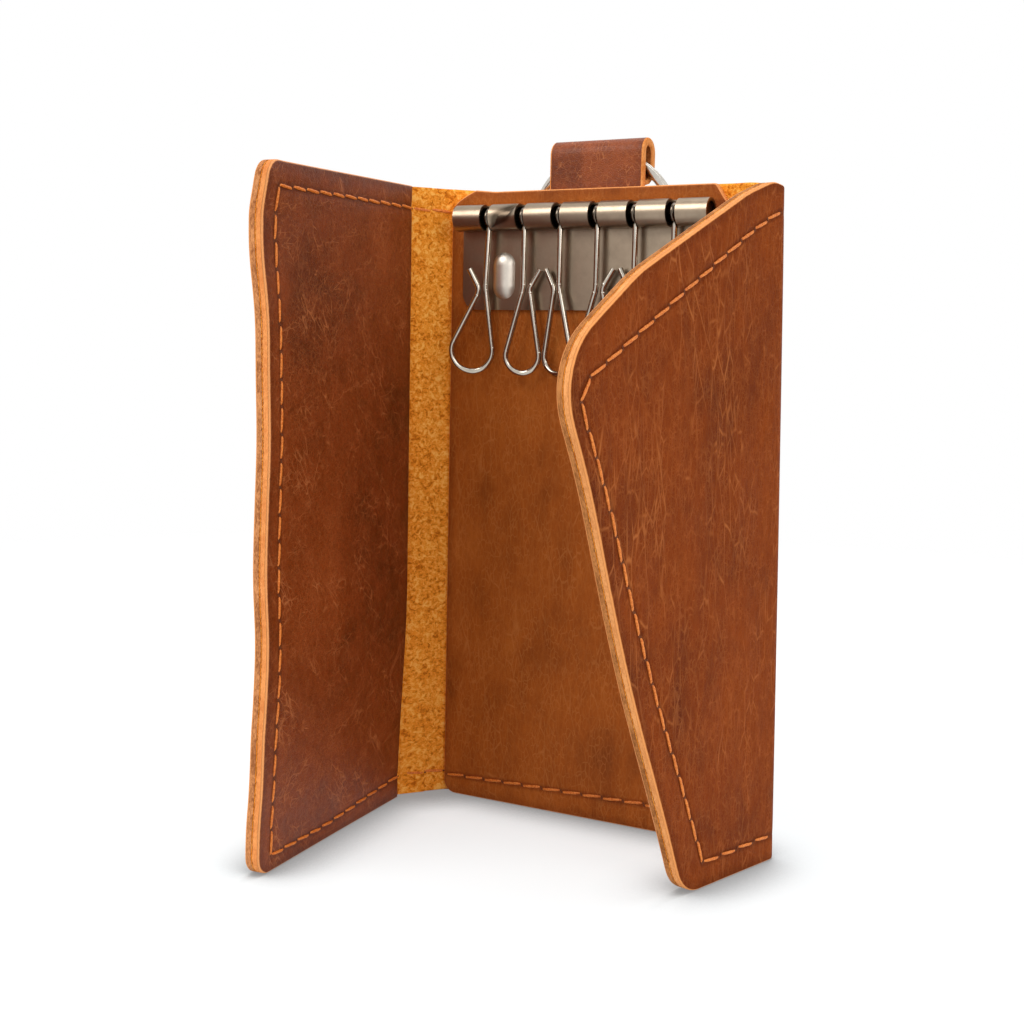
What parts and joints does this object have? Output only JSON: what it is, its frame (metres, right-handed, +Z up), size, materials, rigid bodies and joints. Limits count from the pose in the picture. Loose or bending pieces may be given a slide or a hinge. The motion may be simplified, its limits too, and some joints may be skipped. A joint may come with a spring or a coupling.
{
  "type": "key case",
  "caption": "Trifold leather key case standing open, with folding flaps, a riveted bar of swinging wire key hooks, and a strap with a split ring.",
  "frame": {"origin": "on the bottom edge of the spine's outer leather, in the middle of its width and of its thickness", "axes": "+Z up along the case's height, -Y towards the side that the case opens to, +X to the shaped flap's side"},
  "size_m": [0.075, 0.0634, 0.1237],
  "materials": {
    "shell_outside": "grain leather, reddish tan, fine vertical creases",
    "suede": "matte flesh side, ochre",
    "panel_leather": "fine grain leather, orange-brown",
    "pocket_leather": "fine grain leather, dark reddish brown",
    "nickel_bar": "polished nickel",
    "nickel_wire": "polished nickel wire",
    "nickel_rivet": "satin nickel",
    "nickel_ring": "polished nickel",
    "waxed_thread": "waxed thread, orange"
  },
  "bodies": {
    "spine": {"shell_spine": "shell_outside", "centre_panel": "panel_leather", "hook_plate": "nickel_bar", "hook_axle": "nickel_wire", "hook_rivet_left": "nickel_rivet", "hook_rivet_right": "nickel_rivet", "rivet_washer_left": "nickel_rivet", "rivet_washer_right": "nickel_rivet", "strap_tails": "panel_leather", "stitching_spine_top": "waxed_thread", "stitching_spine_bottom": "waxed_thread", "crease_left_spine": "suede", "crease_right_spine": "suede"},
    "left_band": {"shell_left_band": "suede", "stitching_left_band": "waxed_thread", "crease_left_flap": "suede"},
    "left_flap": {"shell_left_flap": "shell_outside", "left_pocket_panel": "pocket_leather", "stitching_left_flap": "waxed_thread"},
    "right_band": {"shell_right_band": "suede", "stitching_right_band": "waxed_thread", "crease_right_flap": "suede"},
    "right_flap": {"shell_right_flap": "shell_outside", "right_flap_lining": "panel_leather", "stitching_right_flap": "waxed_thread"},
    "hook_1": {"key_hook_1": "nickel_wire"},
    "hook_2": {"key_hook_2": "nickel_wire"},
    "hook_3": {"key_hook_3": "nickel_wire"},
    "hook_4": {"key_hook_4": "nickel_wire"},
    "hook_5": {"key_hook_5": "nickel_wire"},
    "hook_6": {"key_hook_6": "nickel_wire"},
    "hang_loop": {"strap_loop": "panel_leather"},
    "ring": {"split_ring": "nickel_ring"}
  },
  "joints": [
    {"name": "left_crease_spine", "type": "hinge", "parent": "spine", "child": "left_band", "pos_m": [-0.0283, -0.0007, 0.0575], "axis": [0, 0, -1], "range_deg": [-12, 54], "deforming": ["crease_left_spine"]},
    {"name": "left_crease_flap", "type": "hinge", "parent": "left_band", "child": "left_flap", "pos_m": [-0.03377, -0.00822, 0.0575], "axis": [0, 0, -1], "range_deg": [-71.6, 42.4], "deforming": ["crease_left_flap"]},
    {"name": "right_crease_spine", "type": "hinge", "parent": "spine", "child": "right_band", "pos_m": [0.0283, -0.0007, 0.0575], "axis": [0, 0, 1], "range_deg": [-59, 25], "deforming": ["crease_right_spine"]},
    {"name": "right_crease_flap", "type": "hinge", "parent": "right_band", "child": "right_flap", "pos_m": [0.03827, -0.00535, 0.0575], "axis": [0, 0, 1], "range_deg": [-10, 79], "deforming": ["crease_right_flap"]},
    {"name": "hook_1_swing", "type": "hinge", "parent": "spine", "child": "hook_1", "pos_m": [-0.01837, -0.0045, 0.11], "axis": [-1, 0, 0], "range_deg": [0, 150]},
    {"name": "hook_2_swing", "type": "hinge", "parent": "spine", "child": "hook_2", "pos_m": [-0.01103, -0.0045, 0.11], "axis": [-1, 0, 0], "range_deg": [0, 150]},
    {"name": "hook_3_swing", "type": "hinge", "parent": "spine", "child": "hook_3", "pos_m": [-0.00367, -0.0045, 0.11], "axis": [-1, 0, 0], "range_deg": [0, 150]},
    {"name": "hook_4_swing", "type": "hinge", "parent": "spine", "child": "hook_4", "pos_m": [0.00367, -0.0045, 0.11], "axis": [-1, 0, 0], "range_deg": [0, 150]},
    {"name": "hook_5_swing", "type": "hinge", "parent": "spine", "child": "hook_5", "pos_m": [0.01103, -0.0045, 0.11], "axis": [-1, 0, 0], "range_deg": [0, 150]},
    {"name": "hook_6_swing", "type": "hinge", "parent": "spine", "child": "hook_6", "pos_m": [0.01837, -0.0045, 0.11], "axis": [-1, 0, 0], "range_deg": [0, 150]},
    {"name": "strap_bend", "type": "hinge", "parent": "spine", "child": "hang_loop", "pos_m": [0.0014, -0.0007, 0.1159], "axis": [-1, 0, 0], "range_deg": [-50, 0]},
    {"name": "ring_turn", "type": "hinge", "parent": "hang_loop", "child": "ring", "pos_m": [0.0014, 0.00278, 0.10718], "axis": [0, 0.9941, 0.1087], "continuous": true}
  ]
}
